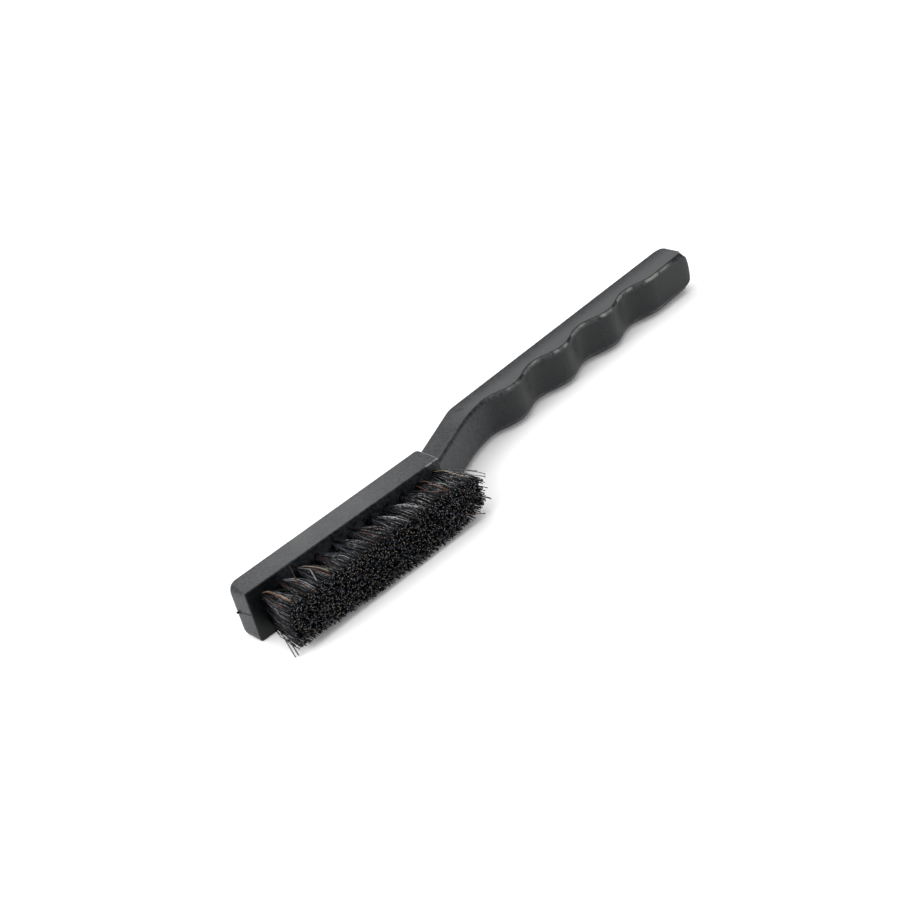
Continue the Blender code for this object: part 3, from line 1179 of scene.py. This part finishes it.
STRAY_HAIRS = (
    Hair(Tint.STRAW, ((-18.2, -1.5, 13.2), (-18.5, -4.6, 13.7), (-19.1, -9.5, 16.4),
                      (-17.9, -14.9, 16.9), (-17.6, -18.3, 16.6))),
    Hair(Tint.SILVER, ((-18.6, -1.5, 13.0), (-18.9, -4.6, 13.8), (-19.5, -12.1, 16.5),
                       (-22.2, -18.3, 16.6))),
    Hair(Tint.RUSSET, ((-18.5, -1.5, 13.1), (-19.4, -4.8, 14.2), (-21.2, -5.0, 16.9),
                       (-22.2, -6.5, 17.2), (-25.5, -13.6, 17.1), (-25.6, -18.0, 16.9))),
    Hair(Tint.COPPER, ((-25.4, -13.0, 16.9), (-25.7, -18.0, 16.9), (-25.6, -22.0, 16.5))),
    Hair(Tint.SILVER, ((-24.6, -1.5, 13.0), (-24.6, -4.6, 13.7), (-24.3, -10.5, 16.0),
                       (-24.4, -15.9, 16.7), (-24.7, -20.6, 16.6))),
    Hair(Tint.SILVER, ((-24.9, -1.5, 12.8), (-24.9, -4.6, 13.5), (-24.9, -11.0, 16.0),
                       (-24.9, -16.5, 16.6), (-25.3, -20.4, 16.5))),
    Hair(Tint.COPPER, ((-31.6, -1.5, 13.2), (-31.9, -4.6, 13.9), (-32.4, -7.8, 15.9),
                       (-32.6, -13.5, 16.8), (-32.6, -19.4, 16.9))),
    Hair(Tint.STRAW, ((-31.4, -1.5, 13.3), (-31.7, -4.6, 14.0), (-32.1, -8.2, 16.1),
                      (-32.2, -13.8, 16.9), (-32.3, -19.0, 17.0))),
    Hair(Tint.COPPER, ((27.3, -2.0, 12.7), (26.8, -5.5, 13.3), (24.9, -9.6, 15.3),
                       (23.6, -15.8, 16.3), (25.4, -18.6, 16.3), (27.5, -20.2, 16.0))),
    Hair(Tint.COPPER, ((27.8, -2.0, 13.0), (28.0, -5.6, 13.8), (27.9, -8.6, 15.3),
                       (26.5, -15.4, 16.4), (27.0, -19.8, 16.4))),
    Hair(Tint.STRAW, ((34.1, -2.0, 13.0), (34.0, -5.6, 13.9), (33.8, -10.6, 15.9),
                      (33.9, -16.6, 16.3), (34.4, -20.4, 16.0))),
    Hair(Tint.RUSSET, ((-31.5, -1.5, 3.8), (-31.8, -4.4, 3.4), (-32.4, -7.2, 2.2),
                       (-36.8, -19.2, 0.5))),
    Hair(Tint.BLACK, ((-31.2, -1.5, 4.3), (-31.6, -4.4, 3.9), (-32.1, -8.2, 3.1),
                      (-36.0, -19.8, 0.8))),
    Hair(Tint.SLATE, ((34.6, -1.5, 12.9), (34.8, -5.5, 13.6), (35.3, -7.8, 14.4),
                      (38.0, -14.3, 14.6), (39.6, -18.7, 14.5))),
    Hair(Tint.STRAW, ((33.2, -1.5, 8.2), (32.0, -6.0, 8.0), (29.4, -14.5, 6.8),
                      (29.6, -19.8, 5.6), (32.0, -20.9, 4.6), (36.7, -20.8, 1.9))),
)
BURR = (
    Hair(Tint.BLACK, ((-37.3, 1.85, 8.70), (-37.7, 1.90, 8.75), (-38.0, 1.97, 8.80),
                      (-38.25, 2.05, 8.80))),
)
LINT = (
    Hair(Tint.BLACK, ((-38.35, 3.0, 8.6), (-37.80, 2.2, 8.9), (-37.62, 0.4, 9.0),
                      (-37.20, -3.6, 9.3))),
    Hair(Tint.BLACK, ((-38.25, 2.1, 9.3), (-37.72, 2.0, 8.9), (-37.66, 1.2, 8.5))),
)


@dataclass(frozen=True)
class Lamp:
    """A square soft lamp that faces the brush."""

    name: str
    place: Point
    size: float
    power: float

    def hang(self) -> None:
        """Add the lamp to the scene."""
        deselect_all()
        bpy.ops.object.light_add(type="AREA", location=self.place)
        lamp = bpy.context.object
        lamp.name = self.name
        lamp.data.size = self.size
        lamp.data.energy = self.power
        lamp.rotation_euler = (-Vector(self.place)).to_track_quat("-Z", "Y").to_euler()


@dataclass
class Studio:
    """Floor, soft light and the camera at the photograph's angle."""

    camera_place: Point = (-0.232030, -0.397724, 0.296701)
    azimuth: float = math.radians(-34.909)
    elevation: float = math.radians(30.337)
    roll: float = math.radians(-16.398)
    lens: float = 75.159
    sensor_width: float = 36.0
    nearest: float = 0.01
    floor_level: float = -0.00005
    floor_size: float = 6.0
    bright_side: Point = (-0.35, 0.25, 0.90)
    brightening: Climb = (0.30, 0.80)
    dim_light: Colour = (0.18, 0.18, 0.185)
    bright_light: Colour = (1.80, 1.80, 1.80)
    lamps: tuple[Lamp, ...] = (
        Lamp("window_light", (-0.90, 0.05, 0.55), 0.5, 6.0),
        Lamp("head_light", (0.100, 0.183, 0.155), 0.08, 0.085),
        Lamp("handle_light", (0.66, 0.54, 0.35), 0.4, 0.25),
        Lamp("front_light", (0.22, -0.86, 0.49), 0.22, 2.2),
        Lamp("end_light", (0.66, -0.75, 0.43), 0.18, 0.9),
    )

    def lay_floor(self) -> None:
        """Lay the pale floor just under the brush."""
        deselect_all()
        place = (0.0, 0.0, self.floor_level)
        bpy.ops.mesh.primitive_plane_add(size=self.floor_size, location=place)
        floor = take_active("floor")
        floor.data.materials.append(PaleFloor().make())

    def hang_lights(self) -> None:
        """Hang the lamps in a room that is brightest overhead, towards the head's front end."""
        for lamp in self.lamps:
            lamp.hang()
        world = bpy.data.worlds.new("studio")
        bench = Bench(world, "Background")
        gaze = bench.add("ShaderNodeTexCoord", {}, {}, "Generated")
        facing = bench.add("ShaderNodeVectorMath", {"operation": "DOT_PRODUCT"},
                           {0: gaze, 1: Vector(self.bright_side)}, "Value")
        share = facing.ramp(*self.brightening)
        bench.plug(bench.shader, {"Color": bench.blend(share, self.dim_light, self.bright_light)})
        bpy.context.scene.world = world

    def set_camera(self) -> None:
        """Set the camera where the photograph was taken from."""
        deselect_all()
        bpy.ops.object.camera_add()
        camera = bpy.context.object
        camera.name = "photo_camera"
        level = math.cos(self.elevation)
        back = Vector((math.sin(self.azimuth) * level, -math.cos(self.azimuth) * level,
                       math.sin(self.elevation)))
        right = Vector((math.cos(self.azimuth), math.sin(self.azimuth), 0.0))
        up = back.cross(right)
        rolled = math.cos(self.roll) * right + math.sin(self.roll) * up
        tall = math.cos(self.roll) * up - math.sin(self.roll) * right
        turn = Matrix((rolled, tall, back)).transposed().to_4x4()
        camera.matrix_world = Matrix.Translation(self.camera_place) @ turn
        camera.data.lens = self.lens
        camera.data.sensor_width = self.sensor_width
        camera.data.clip_start = self.nearest
        bpy.context.scene.camera = camera
        bpy.context.scene.view_settings.view_transform = "Standard"


def main() -> None:
    """Build and dress the brush, then set the stage."""
    logging.basicConfig(level=logging.INFO, format="%(message)s")
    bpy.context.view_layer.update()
    body = MouldedBody()
    body.dress(body.build())
    LOG.info("moulding built")
    hair = BristleHair().make()
    Tufts(HoleGrid(), Strand()).build(hair)
    LOG.info("tufts built")
    Strays("stray_hairs", Strand(rings=17), STRAY_HAIRS, "conductive_hair").build(hair)
    thread = Strand(rings=9, root_radius=0.00006, tip_radius=0.00009)
    Strays("lint", thread, LINT, "conductive_plastic").build(hair)
    flash = Strand(rings=9, root_radius=0.00048, tip_radius=0.00036)
    Strays("burr", flash, BURR, "conductive_plastic").build(hair)
    LOG.info("single hairs built")
    studio = Studio()
    studio.lay_floor()
    studio.hang_lights()
    studio.set_camera()
    LOG.info("stage set")


if __name__ == "__main__":
    main()
